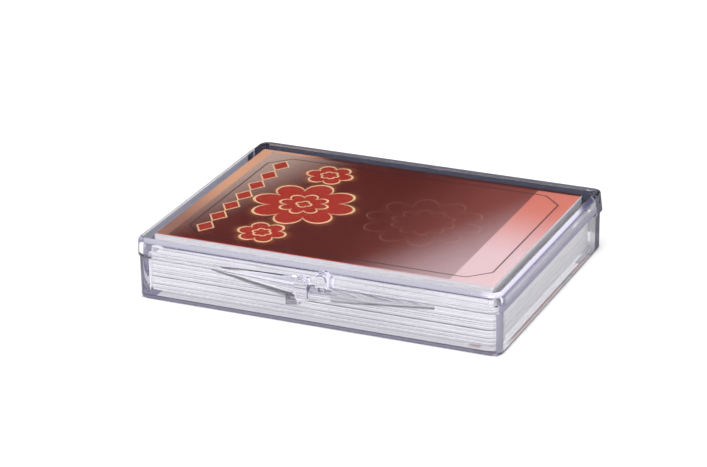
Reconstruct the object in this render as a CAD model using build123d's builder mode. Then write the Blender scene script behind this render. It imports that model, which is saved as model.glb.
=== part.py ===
from build123d import *
import math
import os

os.makedirs("parts", exist_ok=True)

# A flat hinged case of clear plastic, filled with a stack of cards.
# Millimetres. The origin is on the underside, in the middle of the tray.
# +X runs along the long side, -Y is the latch side, +Y the hinge side, +Z is up.

# The cards: standard trading cards, printed side up, long side along X.
card_length = 88.9
card_width = 63.5
card_thickness = 0.48
card_corner_radius = 0.4
card_count = 25
card_air = 0.02
loose_air = 0.12
loose_cards = (8, 11)
card_shift = 0.12
cards_x = -0.8
cards_y = 0.3
card_turn = 0.08

# The tray.
well_clearance = 1.05
head_room = 0.46
floor_thickness = 1.3
end_wall = 2.3
front_wall = 4.5
rear_wall = 4.1
well_corner_radius = 0.5
tray_corner_radius = 3.1
tray_foot_radius = 0.8
tray_draft = 0.3

# The lid.
lid_height = 4.6
lid_overhang = 0.35
lid_corner_radius = 3.4
lid_draft = 1.0
lid_edge_radius = 1.5
plate_thickness = 1.4
skirt_thickness = 1.3
skirt_corner_radius = 2.1
parting_gap = 0.1

# The inner rim that the lid's skirt closes over.
rim_height = 1.4
rim_clearance = 0.15
rim_lead_in = 0.3

# The hinge: a raised rail behind the lid, with an ear at each end that takes a pin.
rail_foot_drop = 0.8
rail_top_drop = 0.6
rail_flare = 0.45
rail_draft = 6.7
rail_thickness = 1.8
rail_corner_radius = 3.0
rail_edge_radius = 0.35
ear_length = 7.65
ear_inset = 0.8
ear_over_pin = 0.2
ear_step_setback = 0.55
pin_radius = 0.9
pin_clearance = 0.05
pin_below_top = 2.0
pin_to_rail = 2.55
pin_end_inset = 0.12
arm_width = 1.3
arm_radius = 1.6
arm_side_play = 0.1
plate_rear_gap = 1.85
plate_rear_radius = 1.0
skirt_end_gap = 0.3
rim_end_gap = 0.2

# The latch: thumb ledges that grow towards the middle of the front, and two knobs.
ledge_root = 0.5
ledge_reach = 2.2
ledge_tip_reach = 0.05
left_tip_x = -27.0
right_tip_x = 31.4
left_ledge_height = 2.2
left_tip_height = 0.2
right_ledge_height = 3.6
right_tip_height = 1.2
right_ledge_slope = 1.6
right_tip_slope = 0.5
lid_ledge_height = 1.55
lid_tip_height = 1.0
lid_ledge_face = 0.7
lid_tip_face = 0.6
knob_reach = 2.5
knob_corner_radius = 1.4
knob_edge_radius = 0.5
knob_gap = 0.2
knob_clearance = 0.3
tray_knob_x = -2.0
tray_knob_width = 3.4
tray_knob_drop = 4.0
tray_knob_rise = 2.3
lid_knob_x = 3.4
lid_knob_width = 3.2
lid_knob_drop = 0.6
lid_knob_rise = 4.0
tray_boss_length = 3.0
tray_boss_height = 2.4
tray_boss_overlap = 0.6
tray_boss_slant = 0.5
tray_boss_reach = 1.2
lid_boss_length = 0.8
lid_boss_height = 2.5
lid_boss_rise = 0.5
lid_boss_reach = 1.3

# Heights.
stack_height = card_count * (card_thickness + card_air) + len(loose_cards) * loose_air
plate_bottom = floor_thickness + stack_height + head_room
case_height = plate_bottom + plate_thickness
lid_bottom = case_height - lid_height
tray_height = lid_bottom - parting_gap

# The tray's outline at its rim, and how much smaller its foot is.
well_length = card_length + 2 * well_clearance
well_width = card_width + 2 * well_clearance
well_y = (front_wall - rear_wall) / 2
tray_length = well_length + 2 * end_wall
tray_width = well_width + front_wall + rear_wall
tray_front = -tray_width / 2
tray_growth = 2 * tray_height * math.tan(math.radians(tray_draft))

# The lid's outline at its open edge, and the rim inside its skirt.
lid_length = tray_length + 2 * lid_overhang
lid_width = tray_width + 2 * lid_overhang
lid_front = -lid_width / 2
skirt_x = lid_length / 2 - skirt_thickness
skirt_front = lid_front + skirt_thickness
rim_x = skirt_x - rim_clearance
rim_front = skirt_front + rim_clearance

# The hinge, from the rail forwards.
rail_foot = tray_height - rail_foot_drop
rail_top = case_height - rail_top_drop
rail_x = tray_length / 2 + rail_flare
rail_rear = tray_width / 2 + rail_flare
rail_front = rail_rear - rail_thickness
ear_x = tray_length / 2 - ear_inset
ear_front = rail_rear - ear_length
pin_y = rail_front - pin_to_rail
pin_z = case_height - pin_below_top
ear_top = pin_z + pin_radius + pin_clearance + ear_over_pin
pin_end_x = rail_x - (pin_z - rail_foot) * math.tan(math.radians(rail_draft)) - pin_end_inset
arm_x = ear_x - arm_side_play
plate_rear = rail_front - plate_rear_gap
skirt_end = ear_front - skirt_end_gap
rim_end = skirt_end - rim_end_gap

# The knobs' heights and sides.
tray_knob_bottom = tray_height - tray_knob_drop
tray_knob_top = tray_height + tray_knob_rise
tray_knob_left = tray_knob_x - tray_knob_width / 2
lid_knob_bottom = lid_bottom - lid_knob_drop
lid_knob_top = lid_bottom + lid_knob_rise
lid_knob_left = lid_knob_x - lid_knob_width / 2
lid_knob_right = lid_knob_x + lid_knob_width / 2

with BuildPart() as base:
    # Rail: a tapered block cut down to a U round the rear, with lower ears.
    with BuildSketch(Plane.XY.offset(rail_foot)):
        RectangleRounded(2 * rail_x, 2 * rail_rear, rail_corner_radius)
    extrude(amount=rail_top - rail_foot, taper=rail_draft)
    fillet(base.faces().sort_by(Axis.Z)[-1].edges(), rail_edge_radius)
    with BuildSketch(Plane.XY.offset(rail_foot)):
        with Locations((0, ear_front)):
            Rectangle(3 * rail_x, 2 * rail_rear, align=(Align.CENTER, Align.MAX))
        with Locations((0, rail_front)):
            Rectangle(2 * ear_x, 2 * rail_rear, align=(Align.CENTER, Align.MAX))
    extrude(amount=rail_top - rail_foot, mode=Mode.SUBTRACT)
    with BuildSketch(Plane.XY.offset(ear_top)):
        with Locations((0, rail_front - ear_step_setback)):
            Rectangle(3 * rail_x, 2 * rail_rear, align=(Align.CENTER, Align.MAX))
    extrude(amount=rail_top - ear_top, mode=Mode.SUBTRACT)

    # Tray, which widens from its foot to its rim.
    with BuildSketch(Plane.XY):
        RectangleRounded(tray_length - tray_growth, tray_width - tray_growth, tray_corner_radius)
    extrude(amount=tray_height, taper=-tray_draft)
    fillet(base.faces().sort_by(Axis.Z)[0].edges(), tray_foot_radius)

    # Inner rim along the front and both ends.
    with BuildSketch(Plane.XY.offset(tray_height)) as rim:
        with Locations((0, rim_end)):
            Rectangle(2 * rim_x, rim_end - rim_front, align=(Align.CENTER, Align.MAX))
        fillet(rim.vertices().group_by(Axis.Y)[0], skirt_corner_radius - rim_clearance)
    extrude(amount=rim_height)
    chamfer(base.faces(Select.LAST).sort_by(Axis.Z)[-1].edges(), rim_lead_in)

    # Well for the cards.
    with BuildSketch(Plane.XY.offset(floor_thickness)):
        with Locations((0, well_y)):
            RectangleRounded(well_length, well_width, well_corner_radius)
    extrude(amount=case_height, mode=Mode.SUBTRACT)

    # Pin holes through the ears.
    with BuildSketch(Plane.YZ.offset(-rail_x)):
        with Locations((pin_y, pin_z)):
            Circle(pin_radius + pin_clearance)
    extrude(amount=2 * rail_x, mode=Mode.SUBTRACT)

    # Left ledge, from its tip to the knob.
    for x, reach, height in (
        (left_tip_x, ledge_tip_reach, left_tip_height),
        (tray_knob_x, ledge_reach, left_ledge_height),
    ):
        with BuildSketch(Plane.YZ.offset(x)):
            with BuildLine():
                Polyline(
                    (tray_front + ledge_root, tray_height),
                    (tray_front - reach, tray_height),
                    (tray_front - reach, tray_height - height),
                    (tray_front + ledge_root, tray_height - height),
                    close=True,
                )
            make_face()
    loft(ruled=True)

    # Right ledge, whose top slopes down and outwards.
    for x, reach, slope, height in (
        (tray_knob_x, ledge_reach, right_ledge_slope, right_ledge_height),
        (right_tip_x, ledge_tip_reach, right_tip_slope, right_tip_height),
    ):
        with BuildSketch(Plane.YZ.offset(x)):
            with BuildLine():
                Polyline(
                    (tray_front + ledge_root, tray_height),
                    (tray_front, tray_height),
                    (tray_front - reach, tray_height - slope),
                    (tray_front - reach, tray_height - height),
                    (tray_front + ledge_root, tray_height - height),
                    close=True,
                )
            make_face()
    loft(ruled=True)

    # Seat under the lid's knob.
    with BuildSketch(Plane.XZ.offset(-tray_front)):
        with Locations((lid_knob_left - knob_clearance, lid_knob_bottom - knob_clearance)):
            Rectangle(
                lid_knob_width + 2 * knob_clearance,
                lid_knob_rise,
                align=(Align.MIN, Align.MIN),
            )
    extrude(amount=ledge_reach + knob_reach, mode=Mode.SUBTRACT)

    # Boss beside the foot of the knob.
    boss_top = tray_knob_bottom + tray_boss_overlap
    boss_bottom = boss_top - tray_boss_height
    with BuildSketch(Plane.XZ.offset(-tray_front - ledge_root)):
        with BuildLine():
            Polyline(
                (tray_knob_left - tray_boss_length, boss_bottom),
                (tray_knob_left + tray_boss_overlap, boss_bottom + tray_boss_slant),
                (tray_knob_left + tray_boss_overlap, boss_top),
                (tray_knob_left - tray_boss_length, boss_top),
                close=True,
            )
        make_face()
    extrude(amount=ledge_root + tray_boss_reach)

    # Knob: it stands on the tray's front and rises in front of the lid.
    with BuildSketch(Plane.XZ.offset(knob_gap - lid_front)):
        with Locations((tray_knob_x, (tray_knob_bottom + tray_knob_top) / 2)):
            RectangleRounded(tray_knob_width, tray_knob_top - tray_knob_bottom, knob_corner_radius)
    extrude(amount=knob_reach - knob_gap)
    fillet(base.faces(Select.LAST).sort_by(Axis.Y)[0].edges(), knob_edge_radius)
    with BuildSketch(Plane.XZ.offset(-tray_front - ledge_root)):
        with Locations((tray_knob_x, (tray_knob_bottom + tray_knob_top) / 2)):
            RectangleRounded(tray_knob_width, tray_knob_top - tray_knob_bottom, knob_corner_radius)
        with Locations((tray_knob_x, tray_height)):
            Rectangle(
                2 * tray_knob_width,
                2 * tray_knob_rise,
                align=(Align.CENTER, Align.MIN),
                mode=Mode.SUBTRACT,
            )
    extrude(amount=ledge_root + lid_overhang + 2 * knob_gap)
base.part.label = "base"
export_step(base.part, "parts/base.step")

with BuildPart() as lid:
    # Plate and skirt.
    with BuildSketch(Plane.XY.offset(lid_bottom)):
        RectangleRounded(lid_length, lid_width, lid_corner_radius)
    extrude(amount=lid_height, taper=lid_draft)
    fillet(lid.faces().sort_by(Axis.Z)[-1].edges(), lid_edge_radius)
    with BuildSketch(Plane.XY.offset(lid_bottom)) as hollow:
        with Locations((0, skirt_front)):
            Rectangle(2 * skirt_x, lid_width, align=(Align.CENTER, Align.MIN))
        fillet(hollow.vertices().group_by(Axis.Y)[0], skirt_corner_radius)
    extrude(amount=lid_height - plate_thickness, mode=Mode.SUBTRACT)

    # Rear end: the skirt stops before the ears and the plate runs on between them.
    with BuildSketch(Plane.XY.offset(lid_bottom)):
        with Locations((0, skirt_end)):
            Rectangle(2 * lid_length, lid_width, align=(Align.CENTER, Align.MIN))
        with Locations((0, plate_rear)):
            RectangleRounded(
                2 * arm_x,
                ear_length + arm_radius,
                plate_rear_radius,
                align=(Align.CENTER, Align.MAX),
                mode=Mode.SUBTRACT,
            )
    extrude(amount=lid_height, mode=Mode.SUBTRACT)

    # Hinge arms with their pins.
    for side in (-1, 1):
        with BuildSketch(Plane.YZ.offset(side * (arm_x - arm_width / 2))):
            with Locations((pin_y, pin_z)):
                Circle(arm_radius)
            with Locations((pin_y - arm_radius, pin_z)):
                Rectangle(
                    arm_radius + plate_rear - pin_y,
                    plate_bottom - pin_z,
                    align=(Align.MIN, Align.MIN),
                )
        extrude(amount=arm_width / 2, both=True)
        with BuildSketch(Plane.YZ.offset(side * (arm_x + pin_end_x) / 2)):
            with Locations((pin_y, pin_z)):
                Circle(pin_radius)
        extrude(amount=(pin_end_x - arm_x) / 2, both=True)

    # Ledge left of the knobs, whose top slopes down and outwards.
    for x, reach, face, height in (
        (left_tip_x, ledge_tip_reach, lid_tip_face, lid_tip_height),
        (
            tray_knob_left - knob_clearance,
            ledge_reach - lid_overhang,
            lid_ledge_face,
            lid_ledge_height,
        ),
    ):
        with BuildSketch(Plane.YZ.offset(x)):
            with BuildLine():
                Polyline(
                    (lid_front + ledge_root, lid_bottom),
                    (lid_front - reach, lid_bottom),
                    (lid_front - reach, lid_bottom + face),
                    (lid_front, lid_bottom + height),
                    (lid_front + ledge_root, lid_bottom + height),
                    close=True,
                )
            make_face()
    loft(ruled=True)

    # Boss beside the knob.
    with BuildSketch(Plane.XZ.offset(-lid_front - ledge_root)):
        with Locations((lid_knob_right + lid_boss_length, lid_bottom + lid_boss_rise)):
            Rectangle(
                lid_knob_width / 2 + lid_boss_length,
                lid_boss_height,
                align=(Align.MAX, Align.MIN),
            )
    extrude(amount=ledge_root + lid_boss_reach)

    # Knob: it stands on the lid's front and hangs in front of the tray.
    with BuildSketch(Plane.XZ.offset(-lid_front)):
        with Locations((lid_knob_x, (lid_knob_bottom + lid_knob_top) / 2)):
            RectangleRounded(lid_knob_width, lid_knob_top - lid_knob_bottom, knob_corner_radius)
    extrude(amount=knob_reach)
    fillet(lid.faces(Select.LAST).sort_by(Axis.Y)[0].edges(), knob_edge_radius)
    with BuildSketch(Plane.XZ.offset(-lid_front - ledge_root)):
        with Locations((lid_knob_x, (lid_knob_bottom + lid_knob_top) / 2)):
            RectangleRounded(lid_knob_width, lid_knob_top - lid_knob_bottom, knob_corner_radius)
        with Locations((lid_knob_x, lid_bottom)):
            Rectangle(
                2 * lid_knob_width,
                2 * lid_knob_rise,
                align=(Align.CENTER, Align.MAX),
                mode=Mode.SUBTRACT,
            )
    extrude(amount=ledge_root + knob_gap)
lid.part.label = "lid"
export_step(lid.part, "parts/lid.step")

# The cards, from the floor up, each a little out of line with the others.
card_bottom = floor_thickness
for number in range(1, card_count + 1):
    card_bottom += card_air
    if number in loose_cards:
        card_bottom += loose_air
    turn = math.radians(card_turn * math.sin(1.7 * number))
    card_plane = Plane(
        origin=(
            cards_x + card_shift * math.sin(2.3 * number),
            cards_y + card_shift * math.cos(3.1 * number),
            card_bottom,
        ),
        x_dir=(math.cos(turn), math.sin(turn), 0),
        z_dir=(0, 0, 1),
    )
    with BuildPart() as card:
        with BuildSketch(card_plane):
            RectangleRounded(card_length, card_width, card_corner_radius)
        extrude(amount=card_thickness)
    card_bottom += card_thickness
    if number == 1:
        card.part.label = "bottom_card"
    elif number == card_count:
        card.part.label = "top_card"
    else:
        card.part.label = f"card_{number:02d}"
    export_step(card.part, f"parts/{card.part.label}.step")
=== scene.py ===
# %% [markdown]
# # A clear case of cards
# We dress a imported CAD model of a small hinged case: a clear tray, a clear lid and a stack of
# cards. Everything below is in metres, with the case's front latch towards -Y.

import math

import bpy
from mathutils import Matrix, Vector


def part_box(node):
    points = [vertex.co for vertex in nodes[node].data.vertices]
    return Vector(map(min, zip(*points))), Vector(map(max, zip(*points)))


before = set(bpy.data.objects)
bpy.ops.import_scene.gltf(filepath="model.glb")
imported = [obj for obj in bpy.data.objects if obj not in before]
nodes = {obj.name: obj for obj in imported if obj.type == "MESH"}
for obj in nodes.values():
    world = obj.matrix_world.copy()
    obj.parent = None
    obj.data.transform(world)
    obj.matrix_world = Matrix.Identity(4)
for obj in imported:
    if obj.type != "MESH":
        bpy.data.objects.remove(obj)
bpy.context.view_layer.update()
MM = 0.001

# %% [markdown]
# ## The camera
# A product shot like this is taken with a long lens from well above the table. A long lens keeps
# the far edges nearly as long as the near ones. A camera could be turned by hand until it looks
# right, but we know the place it looks at, its direction and its distance, so we turn these into
# a matrix.

# %% Camera
TURN = math.radians(24.007)
RISE = math.radians(22.437)
ROLL = math.radians(-0.891)
DISTANCE = 711.11 * MM
LOOK_AT = Vector((-9.599, 4.767, 8.0)) * MM
LENS_PIXELS = 2810.08
WIDTH, HEIGHT = 707, 467
CENTRE_PIXEL = (346.343, 228.926)

level = math.cos(RISE)
forward = -Vector((math.sin(TURN) * level, -math.cos(TURN) * level, math.sin(RISE)))
level_right = forward.cross(Vector((0, 0, 1))).normalized()
level_up = level_right.cross(forward)
right = level_right * math.cos(ROLL) + level_up * math.sin(ROLL)
up = level_up * math.cos(ROLL) - level_right * math.sin(ROLL)

camera_data = bpy.data.cameras.new("camera")
camera_data.sensor_width = 36
camera_data.lens = LENS_PIXELS * camera_data.sensor_width / WIDTH
camera_data.shift_x = (WIDTH / 2 - CENTRE_PIXEL[0]) / WIDTH
camera_data.shift_y = (CENTRE_PIXEL[1] - HEIGHT / 2) / WIDTH
camera_data.clip_start = 0.05
camera_data.clip_end = 20
camera = bpy.data.objects.new("camera", camera_data)
bpy.context.scene.collection.objects.link(camera)
camera.matrix_world = Matrix((
    (right.x, up.x, -forward.x, 0),
    (right.y, up.y, -forward.y, 0),
    (right.z, up.z, -forward.z, 0),
    (0, 0, 0, 1),
))
camera.location = LOOK_AT - forward * DISTANCE
bpy.context.scene.camera = camera
print("lens in mm:", round(camera_data.lens, 1))

# %% [markdown]
# ## Adding nodes
# A material is a tree of nodes, and typing out every node and link makes a tree hard to read. One
# helper fills a socket, either with a plain value or with a link from another node. The other
# adds a node with all its settings and inputs in one line.

# %% Adding nodes
def feed(tree, socket, value):
    """Links another node's output to a socket, or fills the socket with a plain value."""
    if isinstance(value, bpy.types.NodeSocket):
        tree.links.new(value, socket)
    else:
        socket.default_value = value


def add_node(tree, kind, inputs=None, **settings):
    """A new node with its settings and inputs."""
    node = tree.nodes.new(kind)
    for name, value in settings.items():
        setattr(node, name, value)
    for name, value in (inputs or {}).items():
        feed(tree, node.inputs[name], value)
    return node


print("helpers:", feed.__name__, add_node.__name__)

# %% [markdown]
# ## Node groups
# A group is a small tree with named inputs and outputs. It is built once and placed wherever it
# is needed, each time with its own values, as a function is called in a program.

# %% Node groups
NUMBER, VECTOR = "NodeSocketFloat", "NodeSocketVector"


def new_group(name, inputs, outputs):
    """A node group with its inlet and outlet. Inputs are pairs of a kind and a default."""
    group = bpy.data.node_groups.new(name, "ShaderNodeTree")
    for socket, (kind, default) in inputs.items():
        made = group.interface.new_socket(socket, in_out="INPUT", socket_type=kind)
        if default is not None:
            made.default_value = default
    for socket, kind in outputs.items():
        group.interface.new_socket(socket, in_out="OUTPUT", socket_type=kind)
    return group, group.nodes.new("NodeGroupInput"), group.nodes.new("NodeGroupOutput")


def give(group, outlet, results):
    """Links the results to the outlet of a group, and prints what it gives."""
    for name, value in results.items():
        feed(group, outlet.inputs[name], value)
    print("group:", group.name, "with", len(group.nodes), "nodes gives", ", ".join(results))


def use_group(tree, group, inputs):
    """The outputs of a node group that is placed in a tree."""
    return add_node(tree, "ShaderNodeGroup", inputs, node_tree=group).outputs


print("helpers:", new_group.__name__, give.__name__, use_group.__name__)

# %% [markdown]
# ## Numbers, ramps and noise
# Most of a material is arithmetic on the place of a point. A ramp turns a distance into a soft
# step from 0 to 1. Noise is a cloudy value that never repeats. A product of several steps is 1
# only where all of them are.

# %% Numbers, ramps and noise
def calc(tree, operation, *values, clamp=False):
    """The result of a Math node on two or three numbers or outputs."""
    inputs = dict(enumerate(values))
    return add_node(tree, "ShaderNodeMath", inputs, operation=operation, use_clamp=clamp).outputs[0]


def ramp(tree, value, low, high):
    """0 where value is low or beyond, 1 where it is high or beyond, and smooth between."""
    inputs = {"Value": value, "From Min": low, "From Max": high}
    return add_node(tree, "ShaderNodeMapRange", inputs, interpolation_type="SMOOTHSTEP").outputs[0]


def product(tree, first, *others):
    """All values multiplied, which for masks is where every one of them holds."""
    for other in others:
        first = calc(tree, "MULTIPLY", first, other)
    return first


def noise(tree, place, scale, detail, **more):
    """A cloudy value between 0 and 1 that changes from place to place."""
    inputs = {"Vector": place, "Scale": scale, "Detail": detail, **more}
    return add_node(tree, "ShaderNodeTexNoise", inputs).outputs["Fac"]


print("helpers:", calc.__name__, ramp.__name__, product.__name__, noise.__name__)

# %% [markdown]
# ## Signs of handling
# A case that has been opened and carried is never a perfect mirror. It has hairline scratches,
# greasy smudges, and the slow waves that moulding leaves. A picture of scratches would do, but it
# has edges and a fixed size. So one group gives all three as plain values, and a material uses
# each at its own strength. Scratches are a noise that is drawn out along one direction and kept
# only inside some patches.

# %% Handling marks
SCRATCH_STRETCH = (0.05, 2.2, 1.0)
SCRATCH_FADE, PATCH_FADE, SMUDGE_FADE = (0.66, 0.74), (0.42, 0.6), (0.4, 0.75)

handling, inlet, outlet = new_group(
    "handling",
    {"Place": (VECTOR, None), "Turn": (NUMBER, 0.5)},
    {"Scratches": NUMBER, "Smudges": NUMBER, "Waves": NUMBER},
)
tree = handling
place = inlet.outputs["Place"]
turned = add_node(
    tree, "ShaderNodeVectorRotate",
    {"Vector": place, "Angle": inlet.outputs["Turn"]}, rotation_type="Z_AXIS",
).outputs[0]
drawn_out = add_node(
    tree, "ShaderNodeVectorMath", {0: turned, 1: SCRATCH_STRETCH}, operation="MULTIPLY"
).outputs[0]
streaks = ramp(tree, noise(tree, drawn_out, scale=1.0, detail=2.0), *SCRATCH_FADE)
patches = noise(tree, place, scale=0.09, detail=4.0)
give(handling, outlet, {
    "Scratches": product(tree, streaks, ramp(tree, patches, *PATCH_FADE)),
    "Smudges": ramp(tree, patches, *SMUDGE_FADE),
    "Waves": noise(tree, place, scale=0.16, detail=1.0),
})

# %% [markdown]
# ## Clear plastic
# The tray and the lid are moulded in clear polystyrene, which bends light more than water does. A
# plain see-through shader with a little shine would do for thin film, but thick walls look right
# only where light really bends. So we use a refracting shader, which the handling marks roughen
# a little, and a slow wave in the surface that keeps its reflections from being perfect.

# %% Clear plastic
POLYSTYRENE_IOR = 1.57
CLEAR_TINT = (0.905, 0.90, 0.92, 1)
SCRATCH_TURN = 0.6
CLEAN_ROUGHNESS, SMUDGE_ROUGHNESS, SCRATCH_ROUGHNESS = 0.012, 0.02, 0.16
WAVE_STRENGTH, WAVE_HEIGHT = 0.12, 0.12 * MM


def new_material(name):
    """A material, its tree and its output node."""
    material = bpy.data.materials.new(name)
    material.use_nodes = True
    material.node_tree.nodes.clear()
    output = material.node_tree.nodes.new("ShaderNodeOutputMaterial")
    return material, material.node_tree, output


def to_mm(tree):
    """The place on the object, in millimetres."""
    inputs = {0: add_node(tree, "ShaderNodeTexCoord").outputs["Object"], "Scale": 1 / MM}
    return add_node(tree, "ShaderNodeVectorMath", inputs, operation="SCALE").outputs[0]


clear_plastic, tree, output = new_material("clear_plastic")
in_mm = to_mm(tree)
marks = use_group(tree, handling, {"Place": in_mm, "Turn": SCRATCH_TURN})
roughness = calc(tree, "MULTIPLY_ADD", marks["Smudges"], SMUDGE_ROUGHNESS, CLEAN_ROUGHNESS)
roughness = calc(tree, "MULTIPLY_ADD", marks["Scratches"], SCRATCH_ROUGHNESS, roughness)
waves = add_node(tree, "ShaderNodeBump", {
    "Height": marks["Waves"], "Strength": WAVE_STRENGTH, "Distance": WAVE_HEIGHT,
})
refracting = add_node(tree, "ShaderNodeBsdfPrincipled", {
    "Base Color": CLEAR_TINT,
    "Roughness": roughness,
    "Normal": waves.outputs[0],
    "IOR": POLYSTYRENE_IOR,
    "Transmission Weight": 1.0,
}).outputs[0]
print("refracting shader with an index of", POLYSTYRENE_IOR)

# %% [markdown]
# ## Colours, shaders and masks
# A mask is a number that is 1 where something holds and 0 where it doesn't. Masks are made by
# comparing, and they decide where one colour or shader gives way to another.

# %% Colours, shaders and masks
def split(tree, vector):
    """The X, Y and Z of a vector."""
    return tuple(add_node(tree, "ShaderNodeSeparateXYZ", {"Vector": vector}).outputs)


def size(tree, value):
    """The value without its sign."""
    return calc(tree, "ABSOLUTE", value)


def above(tree, value, limit):
    """1 where value is more than limit, otherwise 0."""
    return calc(tree, "GREATER_THAN", value, limit)


def blend_colour(tree, share, first, second):
    """The first colour where share is 0, the second where it is 1."""
    node = add_node(tree, "ShaderNodeMix", {"Factor": share}, data_type="RGBA", clamp_factor=True)
    for socket, value in zip((s for s in node.inputs if s.type == "RGBA"), (first, second)):
        feed(tree, socket, value if isinstance(value, bpy.types.NodeSocket) else (*value, 1))
    return next(s for s in node.outputs if s.type == "RGBA")


def mix_shaders(tree, share, first, second):
    """The first shader where share is 0, the second where it is 1."""
    return add_node(tree, "ShaderNodeMixShader", {0: share, 1: first, 2: second}).outputs[0]


def add_shaders(tree, first, second):
    """The light of both shaders together."""
    return add_node(tree, "ShaderNodeAddShader", {0: first, 1: second}).outputs[0]


print("helpers:", split.__name__, size.__name__, above.__name__, blend_colour.__name__)

# %% [markdown]
# ## Light that stays in the walls
# A thick clear edge looks milky, because light runs to and fro inside it before it comes out. A
# renderer stops following a ray after some bounces and would leave black patches there. It could
# be told to follow rays much longer, which is slow. So once a ray has been mirrored more than
# twice, the plastic answers instead with a painted glow over a painted matt lavender layer, which
# together stand in for the kept light. The glow is lavender, slate towards the hinge, and paler at
# the front, in the plate and at the right edge, where the lamp reaches it.

# %% Light that stays in the walls
MIRRORED_OFTEN = 2.5
LAVENDER_GLOW, HINGE_GLOW = (0.205, 0.197, 0.245), (0.075, 0.077, 0.115)
FRONT_GLOW, PLATE_GLOW, RIGHT_GLOW = (0.74, 0.73, 0.80), (0.46, 0.46, 0.48), (0.80, 0.79, 0.82)
KEPT_LIGHT_LAVENDER = (0.24, 0.235, 0.29, 1)
REAR_FADE, FRONT_FADE, RIGHT_FADE = (14.0, 33.0), (-30.0, -35.0), (40.0, 44.0)
BETWEEN_ENDS, OVER_FOOT = (46.0, 43.0), (3.0, 5.0)
IN_PLATE, BEFORE_HINGE = (13.4, 14.4), (26.0, 10.0)
BEHIND_SKIRT, RIGHT_BEFORE_HINGE = (11.0, 13.0), (28.0, 22.0)

x_mm, y_mm, z_mm = split(tree, in_mm)
to_front = product(
    tree,
    ramp(tree, y_mm, *FRONT_FADE),
    ramp(tree, size(tree, x_mm), *BETWEEN_ENDS),
    ramp(tree, z_mm, *OVER_FOOT),
)
in_plate = product(tree, ramp(tree, z_mm, *IN_PLATE), ramp(tree, y_mm, *BEFORE_HINGE))
to_right = product(
    tree,
    ramp(tree, x_mm, *RIGHT_FADE),
    ramp(tree, z_mm, *BEHIND_SKIRT),
    ramp(tree, y_mm, *RIGHT_BEFORE_HINGE),
)
glow_tone = blend_colour(tree, ramp(tree, y_mm, *REAR_FADE), LAVENDER_GLOW, HINGE_GLOW)
for mask, colour in ((to_front, FRONT_GLOW), (in_plate, PLATE_GLOW), (to_right, RIGHT_GLOW)):
    glow_tone = blend_colour(tree, mask, glow_tone, colour)
kept_light = add_node(tree, "ShaderNodeEmission", {"Color": glow_tone, "Strength": 1.0})
# Painted light: a matt lavender layer stands in for the light kept in the walls.
matt_light = add_node(tree, "ShaderNodeBsdfDiffuse", {"Color": KEPT_LIGHT_LAVENDER})
edge_glow = add_shaders(tree, matt_light.outputs[0], kept_light.outputs[0])
clear_plastic.cycles.emission_sampling = "NONE"

light_path = add_node(tree, "ShaderNodeLightPath").outputs
trapped = above(tree, light_path["Glossy Depth"], MIRRORED_OFTEN)
plastic = mix_shaders(tree, trapped, refracting, edge_glow)
print("nodes with the glow:", len(tree.nodes))

# %% [markdown]
# ## Faces that light passes straight through
# Two faces are seen at a low angle through another layer of plastic: the flat top of the tray's
# rim, and the floor where the cards lie on it. Perfectly flat and clean, both would be mirrors.
# On the real case the parts press together there, and light passes on. The solids could be
# fused, but lid, tray and cards are pieces that come apart. So these faces let light through
# without bending it. So does all of the plastic for shadow rays, since the lamp has to reach the
# cards.

# %% Faces that light passes straight through
RIM_TOP, FLOOR_TOP = 12.6, 1.3
RIM_REACH, FLOOR_REACH = 0.15, 0.1
STACK_FRONT, STACK_RIGHT = -27.6, 42.3
GAP_FRONT, GAP_RIGHT = -31.4, 43.6
LEVEL_NORMAL = 0.9
STRAIGHT_TINT = (0.965, 0.965, 0.97, 1)


def below(tree, value, limit):
    """1 where value is less than limit, otherwise 0."""
    return calc(tree, "LESS_THAN", value, limit)


def within(tree, value, middle, reach):
    """1 where value is nearer to the middle than reach, otherwise 0."""
    return below(tree, size(tree, calc(tree, "SUBTRACT", value, middle)), reach)


def either(tree, first, second):
    """The larger value, which for masks is where one of them holds."""
    return calc(tree, "MAXIMUM", first, second)


normal = add_node(tree, "ShaderNodeNewGeometry").outputs["True Normal"]
turn_x, turn_y, turn_z = split(tree, normal)
on_rim = within(tree, z_mm, RIM_TOP, RIM_REACH)
under_cards = product(tree, above(tree, y_mm, STACK_FRONT), below(tree, x_mm, STACK_RIGHT))
in_gap = either(tree, below(tree, y_mm, GAP_FRONT), above(tree, x_mm, GAP_RIGHT))
floor_part = either(tree, under_cards, in_gap)
on_floor = product(tree, floor_part, within(tree, z_mm, FLOOR_TOP, FLOOR_REACH))
is_level = above(tree, size(tree, turn_z), LEVEL_NORMAL)
touching = product(tree, either(tree, on_rim, on_floor), is_level)
straight = either(tree, light_path["Is Shadow Ray"], touching)
see_through = add_node(tree, "ShaderNodeBsdfTransparent", {"Color": STRAIGHT_TINT}).outputs[0]
plastic = mix_shaders(tree, straight, plastic, see_through)
print("straight through at heights in mm:", RIM_TOP, FLOOR_TOP)

# %% [markdown]
# ## Shades on the outside
# On the real case each ledge throws a thin grey wedge on the wall below it, the parting line is
# dark, and the solid foot, the corners and the hinge rail are lavender or slate, all by light and
# shade in the plastic. A renderer lets the lamp straight through clear plastic, so it shows none
# of this. Dark slivers could be modelled, but the case has no such pieces. So these are painted
# shades: we work out, from the place and the normal alone, how much painted shade a point has and
# in which colour. These masks choose between shaders, which is a job for the material's own tree,
# so they aren't put in a group. First come the sides.

# %% Outer shades: the sides
WALL_X, WALL_Y = 47.2, 36.6
UPRIGHT_NORMAL = 0.95

shades = []
on_front = below(tree, y_mm, -WALL_Y)
on_right = above(tree, x_mm, WALL_X)
on_rear = above(tree, y_mm, WALL_Y)
on_left = below(tree, x_mm, -WALL_X)
upright = below(tree, size(tree, turn_z), UPRIGHT_NORMAL)
outside = product(tree, either(tree, on_front, on_right), upright)


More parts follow.
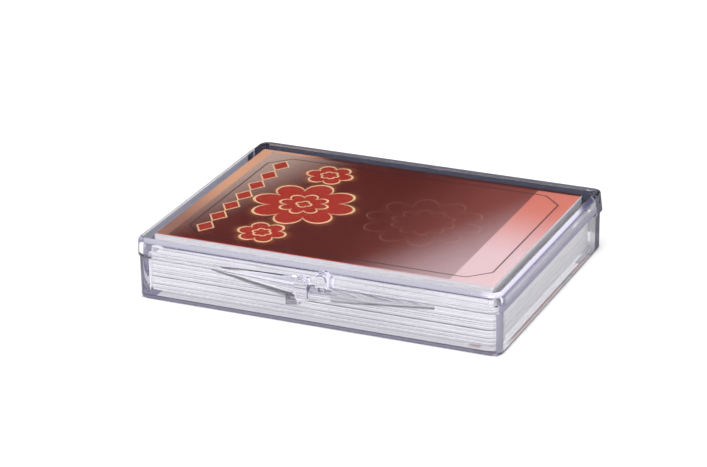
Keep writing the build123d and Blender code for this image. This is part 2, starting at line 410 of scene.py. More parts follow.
def shade(look, *masks):
    """Notes a painted shade with its strength and colour, where every one of the masks holds."""
    shades.append((product(tree, *masks), *look))


print("sides begin at x and y in mm:", WALL_X, WALL_Y)

# %% [markdown]
# ## Foot and corner post
# The foot of the tray is solid plastic from wall to wall, and so is its corner post. Little light
# gets out of so much plastic, so both get painted shade that makes them darker than the thin walls
# between them, and the top of the foot gets a painted dark line. Each painted shade below is a
# strength and a colour.

# %% Outer shades: foot and corner post
BACK_FOOT = (0.6, (0.30, 0.29, 0.36))
FRONT_FOOT = (0.92, (0.20, 0.19, 0.25))
FOOT_LINE = (0.92, (0.11, 0.10, 0.16))
RIGHT_FOOT = (0.93, (0.06, 0.06, 0.10))
CORNER_POST = (0.82, (0.27, 0.26, 0.34))
BACK_TOP, POST_TOP = 10.3, 10.9
FOOT_FADE, RIGHT_FOOT_FADE = (1.2, 1.05), (0.82, 0.7)
LINE_HEIGHT, LINE_REACH = 1.26, 0.16
RIGHT_FOOT_X, POST_X, POST_Y = 46.9, 45.0, -34.0
TURNED_RIGHT, TURNED_FRONT = (0.5, 0.65), (-0.1, -0.3)

low_down = ramp(tree, z_mm, *FOOT_FADE)
shade(BACK_FOOT, either(tree, on_rear, on_left), below(tree, z_mm, BACK_TOP), low_down)
shade(FRONT_FOOT, on_front, low_down, outside)
shade(FOOT_LINE, on_front, within(tree, z_mm, LINE_HEIGHT, LINE_REACH), outside)
shade(RIGHT_FOOT, above(tree, x_mm, RIGHT_FOOT_X), ramp(tree, z_mm, *RIGHT_FOOT_FADE))
shade(
    CORNER_POST,
    ramp(tree, turn_x, *TURNED_RIGHT),
    ramp(tree, turn_y, *TURNED_FRONT),
    below(tree, z_mm, POST_TOP),
    above(tree, x_mm, POST_X),
    below(tree, y_mm, POST_Y),
)
print("shades so far:", len(shades))

# %% [markdown]
# ## The hinge side
# At the rear the wall, the rail and the lid's arm stand one behind the other, and the three of
# them together look slate, which is painted on as shade. A paler painted shade lies before the
# gap at the rear end of the stack, where else the white table would show through.

# %% Outer shades: hinge side
BEFORE_GAP = (0.5, (0.46, 0.45, 0.49))
HINGE_CORNER = (0.9, (0.13, 0.128, 0.165))
RAIL_EDGE = (0.78, (0.16, 0.155, 0.205))
GAP_FADE, HINGE_FADE = (26.4, 27.4), (30.6, 31.2)
GAP_HEIGHT, GAP_REACH = 5.9, 4.7
END_X, END_NORMAL = 46.0, 0.2
RAIL_FADE_Y, RAIL_FADE_Z = (35.4, 36.2), (13.0, 13.6)

gap_heights = within(tree, z_mm, GAP_HEIGHT, GAP_REACH)
shade(BEFORE_GAP, on_right, ramp(tree, y_mm, *GAP_FADE), gap_heights)
at_end = above(tree, size(tree, x_mm), END_X)
faces_end = above(tree, size(tree, turn_x), END_NORMAL)
shade(HINGE_CORNER, ramp(tree, y_mm, *HINGE_FADE), at_end, faces_end)
shade(RAIL_EDGE, ramp(tree, y_mm, *RAIL_FADE_Y), ramp(tree, z_mm, *RAIL_FADE_Z))
print("shades so far:", len(shades))

# %% [markdown]
# ## Skirt and parting line
# The lower edge of the lid's skirt is thick and gets a painted lavender shade, and below it the
# parting line between lid and tray gets a painted dark shade.

# %% Outer shades: skirt and parting line
SKIRT_FOOT = (0.85, (0.33, 0.32, 0.43))
PARTING_LINE_SHADE = (0.55, (0.10, 0.095, 0.13))
SKIRT_HEIGHT, SKIRT_REACH = 12.0, 0.68
PARTING_HEIGHT, PARTING_REACH = 11.06, 0.16

shade(SKIRT_FOOT, on_right, within(tree, z_mm, SKIRT_HEIGHT, SKIRT_REACH), outside)
shade(PARTING_LINE_SHADE, within(tree, z_mm, PARTING_HEIGHT, PARTING_REACH), outside)
print("shades so far:", len(shades))

# %% [markdown]
# ## The latch on the front wall
# The latch has two ledges that grow towards the middle of the front wall. The shadow they throw on
# the wall is painted as a wedge: a line that slopes along the wall, with a half width that changes
# on its way. The right ledge also gets a painted grey shade over its body and a painted dark line
# along its top, in wedges too. Each wedge is given by its X, Z and half width at both ends. The
# boss beside the left knob gets a small painted square of shadow.

# %% Outer shades: latch
LEDGE_SHADOW, LEDGE_GREY_SHADE = (0.10, 0.10, 0.115), (0.27, 0.265, 0.31)
LEDGE_RIM_SHADE = (0.17, 0.165, 0.215)
BOSS_SHADOW = (0.55, (0.10, 0.09, 0.095))
LEFT_LEDGE, RIGHT_LEDGE = (-27.0, -5.4), (5.4, 31.4)
BOSS_X, BOSS_Z, BOSS_FRONT = (-5.2, 1.5), (6.6, 1.4), -37.2


def wedge(ends, heights, halves):
    """A mask on the front wall that is strongest on a sloping line and fades to its half width."""
    run = calc(tree, "DIVIDE", calc(tree, "SUBTRACT", x_mm, ends[0]), ends[1] - ends[0])
    line = calc(tree, "MULTIPLY_ADD", run, heights[1] - heights[0], heights[0])
    half = calc(tree, "MULTIPLY_ADD", run, halves[1] - halves[0], halves[0])
    off = calc(tree, "DIVIDE", size(tree, calc(tree, "SUBTRACT", z_mm, line)), half)
    soft = calc(tree, "POWER", calc(tree, "SUBTRACT", 1.0, off, clamp=True), 0.5)
    return product(tree, soft, within(tree, run, 0.5, 0.5))


# Painted shadows of both ledges, then the right ledge's painted grey shade and dark top line.
shade((0.9, LEDGE_SHADOW), wedge(LEFT_LEDGE, (10.9, 7.6), (0.3, 1.2)), outside)
shade((0.85, LEDGE_SHADOW), wedge(RIGHT_LEDGE, (8.0, 10.1), (0.8, 0.45)), outside)
shade((0.46, LEDGE_GREY_SHADE), wedge(RIGHT_LEDGE, (9.4, 10.8), (2.0, 0.35)), outside)
shade((0.6, LEDGE_RIM_SHADE), wedge(RIGHT_LEDGE, (11.05, 10.95), (0.35, 0.3)), outside)
shade(
    BOSS_SHADOW,
    within(tree, x_mm, *BOSS_X),
    within(tree, z_mm, *BOSS_Z),
    below(tree, y_mm, BOSS_FRONT),
)
print("shades so far:", len(shades))

# %% [markdown]
# ## Laying the shades over each other
# Where two shades overlap, the stronger one wins and brings its colour. So the share is the
# largest of them all, and the tone changes wherever a new shade is larger than those before it.
# The painted shades lie on the plastic as a thin matt layer.

# %% Outer shades: together
share, tone = 0.0, (0.0, 0.0, 0.0)
for mask, strength, colour in shades:
    part = product(tree, mask, strength)
    tone = blend_colour(tree, above(tree, part, share), tone, colour)
    share = either(tree, share, part)
matt_shade = add_node(tree, "ShaderNodeBsdfDiffuse", {"Color": tone}).outputs[0]
print("nodes with", len(shades), "shades:", len(tree.nodes))

# %% [markdown]
# ## The finished plastic
# The rear end of the lid's plate is a narrow matt face of painted shade, nearly slate. It is
# mixed in first, then the painted shades of the outside. A faint volume comes last: it takes a
# little red and green out of light that goes a long way through the plastic, which gives thick
# places their cool tint. A tinted surface could do that too, but it would tint thin and thick
# places alike.

# %% The finished plastic
PLATE_REAR, CUT_REACH, CUT_FADE = 33.9, 0.3, (14.1, 14.3)
CUT_NORMAL, CUT_SHARE = 0.9, 0.8
CUT_SHADE_SLATE = (0.10, 0.10, 0.15, 1)
VOLUME_TINT, VOLUME_DENSITY = (0.333, 0.30, 0.617, 1), 12.0


def paint(obj, *materials, choose=lambda face: 0):
    """Gives an object its materials, and each face the one that choose picks."""
    obj.data.materials.clear()
    for material in materials:
        obj.data.materials.append(material)
    for face in obj.data.polygons:
        face.material_index = choose(face)


# Painted shade on the rear end face of the lid's plate.
at_cut = product(
    tree,
    within(tree, y_mm, PLATE_REAR, CUT_REACH),
    ramp(tree, z_mm, *CUT_FADE),
    above(tree, turn_y, CUT_NORMAL),
    CUT_SHARE,
)
cut_shade = add_node(tree, "ShaderNodeBsdfDiffuse", {"Color": CUT_SHADE_SLATE}).outputs[0]
plastic = mix_shaders(tree, at_cut, plastic, cut_shade)
plastic = mix_shaders(tree, share, plastic, matt_shade)
volume = add_node(
    tree, "ShaderNodeVolumeAbsorption", {"Color": VOLUME_TINT, "Density": VOLUME_DENSITY}
)
feed(tree, output.inputs["Surface"], plastic)
feed(tree, output.inputs["Volume"], volume.outputs[0])
for name in ("base", "lid"):
    paint(nodes[name], clear_plastic)
print("clear plastic on base and lid, with", len(tree.nodes), "nodes")

# %% [markdown]
# ## Cut card edges
# Seen from the side, a stack of cards is a pile of pale cut edges. Each edge is a little darker
# where it meets its neighbours, partly because the printed faces show there and partly because
# shade falls in the thin gaps. The cards are solids of their own, but the gaps between them are
# thinner than a pixel, so they would hardly show. A group therefore paints the seams, print and
# shade together: it works out the height inside the card from the height of the point, allows for
# two places where the stack is looser, and lets each seam wander in depth.

# %% Card edges
CARD, PITCH = 0.48, 0.50
FIRST_CARD = 1.32
LOOSE_GAP, LOOSE_ABOVE = 0.12, (4.85, 6.47)
SEAM_FADE = (0.32, 0.47)
CHANCE_SHARE, WANDER_SHARE = 0.75, 0.45

card_edges, inlet, outlet = new_group(
    "card_edges", {"Place": (VECTOR, None), "Contrast": (NUMBER, 1.0)}, {"Shade": NUMBER}
)
tree = card_edges
x_mm, y_mm, z_mm = split(tree, inlet.outputs["Place"])
height = z_mm
for level in LOOSE_ABOVE:
    height = calc(tree, "SUBTRACT", height, product(tree, above(tree, z_mm, level), LOOSE_GAP))
steps = calc(tree, "DIVIDE", calc(tree, "SUBTRACT", height, FIRST_CARD), PITCH)
number = calc(tree, "FLOOR", steps)
inside = calc(tree, "FRACT", steps)
from_middle = size(tree, calc(tree, "SUBTRACT", inside, CARD / PITCH / 2))
seam = ramp(tree, from_middle, *SEAM_FADE)
chance = add_node(tree, "ShaderNodeTexWhiteNoise", {"W": number}, noise_dimensions="1D")
drift = add_node(tree, "ShaderNodeCombineXYZ", {"X": x_mm, "Y": y_mm, "Z": number}).outputs[0]
wander = noise(tree, drift, scale=0.12, detail=2.0)
depth = calc(
    tree, "ADD",
    product(tree, chance.outputs["Value"], CHANCE_SHARE),
    product(tree, wander, WANDER_SHARE),
)
give(card_edges, outlet, {"Shade": product(tree, depth, seam, inlet.outputs["Contrast"])})

# %% [markdown]
# ## Card stock
# Cut card is matt and full of short fibres, so its white is uneven. One flat white would look
# like plastic, so a fine noise moves the paper between two whites. The seams show most on the
# long sides and least at the ends, and fade high up, behind the lid's rounded edge. The ends,
# turned away from the lamp, are painted a little greyer as shade.

# %% Card stock: paper and seams
SHADED_PAPER = (0.88, 0.875, 0.885)
BRIGHT_PAPER = (0.97, 0.965, 0.97)
END_SHADE_PAPER = (0.62, 0.60, 0.62)
SEAM_SHADE_GREY = (0.30, 0.295, 0.31)
END_FADE, HIGH_FADE, FIBRE_FADE = (0.5, 0.9), (12.7, 13.3), (0.35, 0.65)
SIDE_CONTRAST, END_LOSS, HIGH_LOSS = 0.95, 0.40, 0.75
END_SHADE_SHARE = 0.5

card_stock, tree, output = new_material("card_stock")
in_mm = to_mm(tree)
z_mm = split(tree, in_mm)[2]
turn_x, turn_y, _ = split(tree, add_node(tree, "ShaderNodeNewGeometry").outputs["Normal"])
short_end = ramp(tree, size(tree, turn_x), *END_FADE)
contrast = product(
    tree,
    calc(tree, "MULTIPLY_ADD", short_end, -END_LOSS, SIDE_CONTRAST),
    calc(tree, "MULTIPLY_ADD", ramp(tree, z_mm, *HIGH_FADE), -HIGH_LOSS, 1.0),
)
seams = use_group(tree, card_edges, {"Place": in_mm, "Contrast": contrast})["Shade"]
fibre = ramp(tree, noise(tree, in_mm, scale=2.6, detail=5.0, Roughness=0.7), *FIBRE_FADE)
paper = blend_colour(tree, fibre, SHADED_PAPER, BRIGHT_PAPER)
# Painted shade on the ends, which face away from the lamp.
paper = blend_colour(tree, product(tree, short_end, END_SHADE_SHARE), paper, END_SHADE_PAPER)
# The seams: print and painted shade in the gaps between the cards.
paper = blend_colour(tree, seams, paper, SEAM_SHADE_GREY)
print("nodes for paper and seams:", len(tree.nodes))

# %% [markdown]
# ## Gathered light
# Curved clear walls gather light on the cards behind them, at the front and, most of all, high on
# the right end under the lid's rounded edge. A renderer finds such light too rarely, so a faint
# glow in the paper stands in for it. Every card gets this stock, and the two outer ones get a
# print as well.

# %% Card stock: gathered light
PAPER_GLOW = (0.94, 0.92, 0.94)
RIGHT_GATHERED, FRONT_GATHERED = 0.5, 0.14
GATHER_FADE, HALF_TURNED = (12.8, 13.4), 0.5

at_right = product(
    tree, above(tree, turn_x, HALF_TURNED), ramp(tree, z_mm, *GATHER_FADE), RIGHT_GATHERED
)
bare_paper = calc(tree, "SUBTRACT", 1.0, seams)
at_front = product(tree, below(tree, turn_y, -HALF_TURNED), bare_paper, FRONT_GATHERED)
gathered = calc(tree, "ADD", at_right, at_front)
stock_shader = add_node(tree, "ShaderNodeBsdfPrincipled", {
    "Base Color": paper,
    "Roughness": 0.6,
    "Emission Color": blend_colour(tree, gathered, (0.0, 0.0, 0.0), PAPER_GLOW),
    "Emission Strength": 1.0,
})
feed(tree, output.inputs["Surface"], stock_shader.outputs[0])
cards = [node for name, node in nodes.items() if "card" in name]
for card in cards:
    paint(card, card_stock)
print("card stock on", len(cards), "cards")

# %% [markdown]
# ## A rosette
# The top card shows through the lid, with a print in warm reds. A picture file could carry it,
# but a print of plain figures is sharper when it is worked out from the place on the card. The
# first figure is a rosette. Its outline is a circle whose radius swings with the angle, so one
# group gives flowers of any size and any number of petals.

# %% Rosette
NOTCH = 0.64
PETAL_ROUNDING = 0.6
GLOW_REACH = 2.4

rosette, inlet, outlet = new_group(
    "rosette",
    {
        "Place": (VECTOR, None),
        "Radius": (NUMBER, 10.0),
        "Petals": (NUMBER, 8.0),
        "Line": (NUMBER, 0.4),
    },
    {"Fill": NUMBER, "Outline": NUMBER, "Glow": NUMBER},
)
tree = rosette
x_mm, y_mm, _ = split(tree, inlet.outputs["Place"])
flat = add_node(tree, "ShaderNodeCombineXYZ", {"X": x_mm, "Y": y_mm}).outputs[0]
reach = add_node(tree, "ShaderNodeVectorMath", {0: flat}, operation="LENGTH").outputs["Value"]
angle = calc(tree, "ARCTAN2", y_mm, x_mm)
swing = product(tree, angle, calc(tree, "DIVIDE", inlet.outputs["Petals"], 2.0))
petal = calc(tree, "POWER", size(tree, calc(tree, "COSINE", swing)), PETAL_ROUNDING)
edge = product(
    tree, inlet.outputs["Radius"], calc(tree, "MULTIPLY_ADD", petal, 1 - NOTCH, NOTCH)
)
outside = calc(tree, "SUBTRACT", reach, edge)
half_line = calc(tree, "DIVIDE", inlet.outputs["Line"], 2.0)
give(rosette, outlet, {
    "Fill": below(tree, outside, 0.0),
    "Outline": below(tree, size(tree, outside), half_line),
    "Glow": calc(tree, "SUBTRACT", 1.0, ramp(tree, outside, 0.0, GLOW_REACH)),
})

# %% [markdown]
# ## A row of lozenges
# A lozenge is where two distances, each divided by its own half size, add up to less than one.
# Rounding the place along the row to the nearest step repeats it.

# %% Row of lozenges
LINE_SLANT = 1.3

lozenges, inlet, outlet = new_group(
    "lozenges",
    {
        "Place": (VECTOR, None),
        "Pitch": (NUMBER, 8.0),
        "Half Width": (NUMBER, 2.6),
        "Half Length": (NUMBER, 3.6),
        "Reach": (NUMBER, 20.0),
        "Line": (NUMBER, 0.35),
    },
    {"Fill": NUMBER, "Outline": NUMBER},
)
tree = lozenges
x_mm, y_mm, _ = split(tree, inlet.outputs["Place"])
pitch = inlet.outputs["Pitch"]
half_width = inlet.outputs["Half Width"]
across = calc(tree, "DIVIDE", size(tree, x_mm), half_width)
turns = calc(tree, "DIVIDE", y_mm, pitch)
turns = calc(tree, "SUBTRACT", turns, calc(tree, "ROUND", turns))
along = product(tree, size(tree, turns), pitch)
along = calc(tree, "DIVIDE", along, inlet.outputs["Half Length"])
outside = calc(tree, "SUBTRACT", calc(tree, "ADD", across, along), 1.0)
in_row = below(tree, size(tree, y_mm), inlet.outputs["Reach"])
half_line = calc(tree, "DIVIDE", inlet.outputs["Line"], product(tree, half_width, LINE_SLANT))
give(lozenges, outlet, {
    "Fill": product(tree, below(tree, outside, 0.0), in_row),
    "Outline": product(tree, below(tree, size(tree, outside), half_line), in_row),
})

# %% [markdown]
# ## The field of the print
# The field runs from deep maroon in the middle to russet at the right, tan at the left rear and a
# pale mist at the right front, partly the print's own tone and partly a painted reflection haze.
# Each change is a ramp along one direction of the card, laid over the last one. The colours are
# written as they are seen, from 0 to 255, and a helper turns them into the amounts of light that
# shaders count with.

# %% Field of the print
def srgb(red, green, blue):
    """A colour as it is seen, 0 to 255, as the linear colour that shaders take."""
    return tuple(
        v / 255 / 12.92 if v <= 10 else ((v / 255 + 0.055) / 1.055) ** 2.4
        for v in (red, green, blue)
    )


MAROON, RUSSET = srgb(90, 21, 6), srgb(139, 68, 57)
TAN, MIST_AND_SHEEN = srgb(200, 172, 156), srgb(214, 190, 191)
RUSSET_FADE, TAN_FADE, MIST_AND_SHEEN_FADE = (-2.0, 34.0), (25.0, 52.0), (17.0, 47.0)
TAN_SLOPE, MIST_AND_SHEEN_SLOPE, MIST_AND_SHEEN_SHARE = 0.35, 0.45, 0.76

printed_card, tree, output = new_material("printed_card")
card_low, card_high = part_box("top_card")
middle = (card_low + card_high) / 2 / MM


def seen_from(place, *origin):
    """A place on the card, counted from another origin."""
    inputs = {0: place, 1: origin}
    return add_node(tree, "ShaderNodeVectorMath", inputs, operation="SUBTRACT").outputs[0]


centred = seen_from(to_mm(tree), middle.x, middle.y, 0)
x_mm, y_mm, _ = split(tree, centred)
colour = blend_colour(tree, ramp(tree, x_mm, *RUSSET_FADE), MAROON, RUSSET)
left_rear = calc(tree, "SUBTRACT", product(tree, y_mm, TAN_SLOPE), x_mm)
colour = blend_colour(tree, ramp(tree, left_rear, *TAN_FADE), colour, TAN)
# Partly the print's pale mist and partly a painted reflection haze at the right front.
right_front = calc(tree, "SUBTRACT", x_mm, product(tree, y_mm, MIST_AND_SHEEN_SLOPE))
sheen_and_mist = ramp(tree, right_front, *MIST_AND_SHEEN_FADE)
colour = blend_colour(tree, product(tree, sheen_and_mist, MIST_AND_SHEEN_SHARE), colour, MIST_AND_SHEEN)
print("card middle in mm:", round(middle.x, 2), round(middle.y, 2))

# %% [markdown]
# ## Placing the figures
# A large rosette stands between two small ones, which are a single figure folded over the middle
# line. A row of lozenges closes them off at the left, and a faint pair of rings lies in the field
# at the right. Each is placed by counting from its own middle.

# %% Placing the figures
LEFT_MIDDLE, RIGHT_MIDDLE = -18.5, 14.0
SIDE_MIDDLE = (-20.5, 20.6)
ROW_MIDDLE = -35.2


def flower(place, radius, petals, line):
    """The outputs of one rosette, with sizes in millimetres."""
    inputs = {"Place": place, "Radius": radius, "Petals": petals, "Line": line}
    return use_group(tree, rosette, inputs)


at_left = seen_from(centred, LEFT_MIDDLE, 0, 0)
at_right = seen_from(centred, RIGHT_MIDDLE, 0, 0)
folded = add_node(tree, "ShaderNodeCombineXYZ", {"X": x_mm, "Y": size(tree, y_mm)}).outputs[0]
at_side = seen_from(folded, *SIDE_MIDDLE, 0)
star = flower(at_left, radius=13.5, petals=8.0, line=0.7)
heart = flower(at_left, radius=6.4, petals=8.0, line=0.6)
eye = flower(at_left, radius=2.0, petals=4.0, line=0.5)
side_star = flower(at_side, radius=6.2, petals=6.0, line=0.6)
side_eye = flower(at_side, radius=2.4, petals=6.0, line=0.5)
ghost = flower(at_right, radius=15.0, petals=10.0, line=0.35)
ghost_heart = flower(at_right, radius=8.0, petals=10.0, line=0.3)
row = use_group(tree, lozenges, {
    "Place": seen_from(centred, ROW_MIDDLE, 0, 0),
    "Half Width": 2.3,
    "Half Length": 3.4,
    "Pitch": 7.4,
    "Reach": 25.9,
    "Line": 0.3,
})
print("figures placed, nodes so far:", len(tree.nodes))

# %% [markdown]
# ## Colouring the figures
# Printing goes from the back to the front: first a warm glow round the rosettes, then the faint
# rings, then the red fillings with their cream outlines, and the small outlines on top.

# %% Colouring the figures
CREAM, BRICK, GLOW = srgb(248, 210, 160), srgb(176, 42, 22), srgb(190, 108, 62)
GLOW_SHARE, GHOST_SHARE = 0.4, 0.16

for figure in (star, side_star):
    colour = blend_colour(tree, product(tree, figure["Glow"], GLOW_SHARE), colour, GLOW)
for figure in (ghost, ghost_heart):
    colour = blend_colour(tree, product(tree, figure["Outline"], GHOST_SHARE), colour, CREAM)
for figure in (star, side_star, row):
    colour = blend_colour(tree, figure["Fill"], colour, BRICK)
    colour = blend_colour(tree, figure["Outline"], colour, CREAM)
for figure in (heart, eye, side_eye):
    colour = blend_colour(tree, figure["Outline"], colour, CREAM)
print("nodes with the figures:", len(tree.nodes))

# %% [markdown]
# ## Bands and borders
# The print ends in a broad pale band at the right and in narrow borders on the other sides. Each
# of them changes tone along its length, and the cut edge at the front stays white.

# %% Bands and borders
SALMON, PINK, RUST = srgb(232, 136, 116), srgb(246, 214, 214), srgb(196, 66, 40)
PEACH_SHADE, PEACH = srgb(158, 110, 92), srgb(236, 176, 136)
DEEP_RUST, CUT_WHITE = srgb(72, 20, 12), srgb(226, 222, 228)
BAND_X, LEFT_BORDER_X = 33.2, -41.4
LONG_BORDER_Y, CUT_Y = 30.4, -30.9
BAND_FADE, LEFT_FADE = (22.0, -16.0), (-26.0, 14.0)
PEACH_FADE, SALMON_FADE = (25.0, 50.0), (6.0, 40.0)
REAR_HALF, DEEP_FADE = (0.0, 1.0), (44.0, 34.0)

band_tone = blend_colour(tree, ramp(tree, y_mm, *BAND_FADE), SALMON, PINK)
colour = blend_colour(tree, above(tree, x_mm, BAND_X), colour, band_tone)
left_tone = blend_colour(tree, ramp(tree, y_mm, *LEFT_FADE), PEACH_SHADE, PEACH)
colour = blend_colour(tree, below(tree, x_mm, LEFT_BORDER_X), colour, left_tone)
long_tone = blend_colour(tree, ramp(tree, left_rear, *PEACH_FADE), RUST, PEACH)
long_tone = blend_colour(tree, ramp(tree, x_mm, *SALMON_FADE), long_tone, SALMON)
# Towards the right front the border turns pink too: print and painted reflection haze.
long_tone = blend_colour(tree, sheen_and_mist, long_tone, PINK)
rear_dark = product(tree, ramp(tree, y_mm, *REAR_HALF), ramp(tree, left_rear, *DEEP_FADE))
long_tone = blend_colour(tree, rear_dark, long_tone, DEEP_RUST)
colour = blend_colour(tree, above(tree, size(tree, y_mm), LONG_BORDER_Y), colour, long_tone)
colour = blend_colour(tree, below(tree, y_mm, CUT_Y), colour, CUT_WHITE)
print("nodes with the borders:", len(tree.nodes))

# %% [markdown]
# ## The thread
# A dark thread with cut corners runs round inside the borders. Its distance from a point is the
# largest of three: to the long sides, to the short sides and to the cut. The finished print goes
# on the upper face of the top card only, and its edges keep the plain stock.

# %% Thread and finished print
THREAD_DARK = srgb(40, 24, 34)
THREAD_MIDDLE_X = 1.0
THREAD_HALF_X, THREAD_HALF_Y = 40.2, 27.8
CORNER_CUT = 5.0
CUT_SLANT = 0.7
THREAD_HALF, THREAD_SHARE = 0.22, 0.85

from_middle = size(tree, calc(tree, "SUBTRACT", x_mm, THREAD_MIDDLE_X))
past_x = calc(tree, "SUBTRACT", from_middle, THREAD_HALF_X)
past_y = calc(tree, "SUBTRACT", size(tree, y_mm), THREAD_HALF_Y)
past_cut = calc(tree, "ADD", calc(tree, "ADD", past_x, past_y), CORNER_CUT)
past = either(tree, either(tree, past_x, past_y), product(tree, past_cut, CUT_SLANT))
thread = below(tree, size(tree, past), THREAD_HALF)
colour = blend_colour(tree, product(tree, thread, THREAD_SHARE), colour, THREAD_DARK)
print_shader = add_node(tree, "ShaderNodeBsdfPrincipled", {
    "Base Color": colour, "Roughness": 0.5, "Specular IOR Level": 0.3,
})
feed(tree, output.inputs["Surface"], print_shader.outputs[0])
paint(nodes["top_card"], card_stock, printed_card, choose=lambda face: int(face.normal.z > 0.9))
printed = sum(face.material_index for face in nodes["top_card"].data.polygons)
print("printed faces:", printed)

# %% [markdown]
# ## The lowest card
# The lowest card lies face down, so its print looks through the floor of the tray. It is pale,
# with fine ruled lines, and has a reddish strip with one dark spot at the right end. From the
# camera, light takes a turn in the floor and shows that strip as a thin line along the foot of
# the case. The line could be painted on the wall, but the floor shows it by itself and moves it
# rightly with the view. Hardly any lamp light gets under the stack, so the print has a glow.

# %% Printed underside
RULING_PITCH, RULED_TO, RULING_SHARE = 1.95, 36.0, 0.5
RULING_FADE, BLOT_FADE, SPOT_FADE, STRIP_FADE = (0.3, 0.5), (0.4, 0.65), (4.0, 3.0), (-28.0, -21.0)
RULED_PAPER, RULED_LINE = (0.93, 0.92, 0.94), (0.40, 0.39, 0.42)
STRIP_RED, STRIP_BROWN = srgb(156, 82, 62), srgb(112, 58, 48)
STRIP_SPOT = srgb(38, 26, 28)
STRIP_X, STRIP_HALF = 38.7, 1.5
SPOT_Y = 16.0
UNDERSIDE_GLOW = 0.74

printed_underside, tree, output = new_material("printed_underside")
in_mm = to_mm(tree)
x_mm, y_mm, _ = split(tree, in_mm)
step = calc(tree, "FRACT", calc(tree, "DIVIDE", y_mm, RULING_PITCH))
ruling = ramp(tree, size(tree, calc(tree, "SUBTRACT", step, 0.5)), *RULING_FADE)
ruling = product(tree, ruling, below(tree, x_mm, RULED_TO), RULING_SHARE)
tone = blend_colour(tree, ruling, RULED_PAPER, RULED_LINE)
blots = ramp(tree, noise(tree, in_mm, scale=0.35, detail=3.0), *BLOT_FADE)
strip_tone = blend_colour(tree, blots, STRIP_RED, STRIP_BROWN)
spot = ramp(tree, size(tree, calc(tree, "SUBTRACT", y_mm, SPOT_Y)), *SPOT_FADE)
strip_tone = blend_colour(tree, spot, strip_tone, STRIP_SPOT)
in_strip = within(tree, x_mm, STRIP_X, STRIP_HALF)
strip = product(tree, in_strip, ramp(tree, y_mm, *STRIP_FADE))
underside_shader = add_node(tree, "ShaderNodeBsdfPrincipled", {
    "Base Color": (0.1, 0.1, 0.1, 1),
    "Roughness": 0.6,
    "Emission Color": blend_colour(tree, strip, tone, strip_tone),
    "Emission Strength": UNDERSIDE_GLOW,
})
feed(tree, output.inputs["Surface"], underside_shader.outputs[0])
paint(
    nodes["bottom_card"], card_stock, printed_underside,
    choose=lambda face: int(face.normal.z < -0.5),
)
printed = sum(face.material_index for face in nodes["bottom_card"].data.polygons)
print("printed faces below:", printed)

# %% [markdown]
# ## The table
# The case stands on a wide white table. Brighter lamps would make the table white too, but they
# would wash out the case. So a small glow lifts it to white where the camera, a mirror or clear
# plastic looks at it directly, and it still keeps the case's shadow. Right under the case it is
# dark: next to no light reaches the place where the two touch.

# %% Table
HALF_TABLE = 3.0
TABLE_WHITE, CONTACT_SHADE = (0.9, 0.9, 0.9), (0.16, 0.155, 0.20)
TABLE_GLOW, TABLE_DROP = 0.14, 0.02 * MM
UNDER_X, UNDER_Y = (47.6, 46.4), (36.9, 35.7)

table_mesh = bpy.data.meshes.new("table")
table_mesh.from_pydata(
    [(x * HALF_TABLE, y * HALF_TABLE, 0) for x, y in ((-1, -1), (1, -1), (1, 1), (-1, 1))],
    [],
    [(0, 1, 2, 3)],
)
table = bpy.data.objects.new("table", table_mesh)
table.location.z = -TABLE_DROP
bpy.context.scene.collection.objects.link(table)
table_top, tree, output = new_material("table_top")
x_mm, y_mm, _ = split(tree, to_mm(tree))
under_case = product(
    tree, ramp(tree, size(tree, x_mm), *UNDER_X), ramp(tree, size(tree, y_mm), *UNDER_Y)
)
table_tone = blend_colour(tree, under_case, TABLE_WHITE, CONTACT_SHADE)
table_shader = add_node(tree, "ShaderNodeBsdfDiffuse", {"Color": table_tone})
light_path = add_node(tree, "ShaderNodeLightPath").outputs
first_look = below(tree, light_path["Diffuse Depth"], 0.5)
open_table = product(tree, first_look, calc(tree, "SUBTRACT", 1.0, under_case))
glow = add_node(tree, "ShaderNodeEmission", {"Color": open_table, "Strength": TABLE_GLOW})
lit_table = add_shaders(tree, table_shader.outputs[0], glow.outputs[0])
feed(tree, output.inputs["Surface"], lit_table)
paint(table, table_top)
print("table with a half width in m of", HALF_TABLE)

# %% [markdown]
# ## The room
# Clear plastic shows what is round it. A room that is white all over would wash its edges out,
# so the walls are dark and only the ceiling is bright. The camera sees plain white instead, and
# the soft light on the cards and the table comes from an even pale grey.

# %% Room
DIM_WALL = (0.012, 0.012, 0.014)
WHITE = (1.0, 1.0, 1.0)
SOFT_LIGHT = (0.68, 0.68, 0.68)
CEILING_FADE = (0.45, 0.8)

world = bpy.data.worlds.new("room")
bpy.context.scene.world = world
world.use_nodes = True
tree = world.node_tree
tree.nodes.clear()
output = tree.nodes.new("ShaderNodeOutputWorld")
light_path = add_node(tree, "ShaderNodeLightPath").outputs
direction = split(tree, add_node(tree, "ShaderNodeTexCoord").outputs["Generated"])
room_tone = blend_colour(tree, ramp(tree, direction[2], *CEILING_FADE), DIM_WALL, WHITE)
lights_matt = above(tree, light_path["Diffuse Depth"], 0.5)
room_tone = blend_colour(tree, lights_matt, room_tone, SOFT_LIGHT)
room_tone = blend_colour(tree, light_path["Is Camera Ray"], room_tone, WHITE)
room = add_node(tree, "ShaderNodeBackground", {"Color": room_tone, "Strength": 1.0})
feed(tree, output.inputs["Surface"], room.outputs[0])
print("room:", world.name, "with", len(tree.nodes), "nodes")

# %% [markdown]
# ## Two cards that paint shade
# Photographers stand dark cards beside glass, just out of the picture, to give it a drawn edge. We
# stand one behind the case and one at its left; both glow and paint shade into the plastic, dark
# to slate behind and grey at the left. Neither throws a shadow or is seen by the camera. Light
# finds them only after it has passed through more than two faces of plastic, so the open lid, a
# single plate in front of them, stays clear.

# %% Dark cards
PASSED_OFTEN = 2.5
RISE_FADE = (1.0, 12.0)


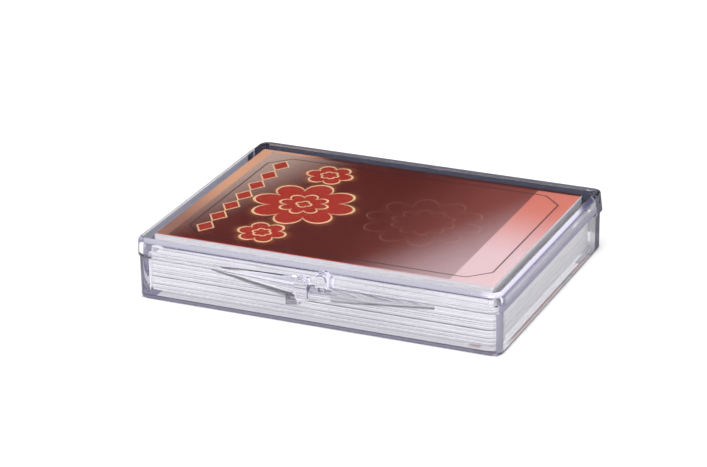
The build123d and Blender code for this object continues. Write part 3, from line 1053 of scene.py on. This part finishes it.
def shade_card(name, start, stop, height, low_tone, high_tone):
    """An upright glowing card from start to stop on the table that paints shade, which only the
    clear plastic can see.
    """
    mesh = bpy.data.meshes.new(name)
    corners = [(*start, 0), (*stop, 0), (*stop, height), (*start, height)]
    mesh.from_pydata(corners, [], [(0, 1, 2, 3)])
    card = bpy.data.objects.new(name, mesh)
    bpy.context.scene.collection.objects.link(card)
    card.visible_camera = False
    card.visible_diffuse = False
    card.visible_shadow = False
    material, tree, output = new_material(name)
    rise = ramp(tree, split(tree, to_mm(tree))[2], *RISE_FADE)
    tone = blend_colour(tree, rise, low_tone, high_tone)
    shown = add_node(tree, "ShaderNodeEmission", {"Color": tone, "Strength": 1.0})
    absent = add_node(tree, "ShaderNodeBsdfTransparent")
    passes = add_node(tree, "ShaderNodeLightPath").outputs["Transmission Depth"]
    deep = above(tree, passes, PASSED_OFTEN)
    shader = mix_shaders(tree, deep, absent.outputs[0], shown.outputs[0])
    feed(tree, output.inputs["Surface"], shader)
    paint(card, material)
    print("dark card:", name)


shade_card(
    "rear_shade_card", start=(-0.0575, 0.046), stop=(0.052, 0.046), height=0.018,
    low_tone=(0.02, 0.02, 0.03), high_tone=(0.14, 0.145, 0.21),
)
shade_card(
    "left_shade_card", start=(-0.0575, -0.036), stop=(-0.0575, 0.075), height=0.014,
    low_tone=(0.48, 0.48, 0.56), high_tone=(0.60, 0.60, 0.66),
)

# %% [markdown]
# ## The lamp
# One large square lamp hangs in front of the case and above it, and is turned towards it. Its
# size keeps the shadows soft. The view transform is set to Standard, which shows colours as they
# are written.

# %% Lamp
LAMP_SIDE, LAMP_WATTS = 1.2, 16.5
LAMP_PLACE = (0.15, -0.8, 1.25)

lamp_data = bpy.data.lights.new("lamp", "AREA")
lamp_data.shape = "RECTANGLE"
lamp_data.size = LAMP_SIDE
lamp_data.size_y = LAMP_SIDE
lamp_data.energy = LAMP_WATTS
lamp = bpy.data.objects.new("lamp", lamp_data)
lamp.location = LAMP_PLACE
lamp.rotation_euler = (-lamp.location).to_track_quat("-Z", "Y").to_euler()
bpy.context.scene.collection.objects.link(lamp)
bpy.context.scene.view_settings.view_transform = "Standard"
print("lamp power in watts:", LAMP_WATTS)
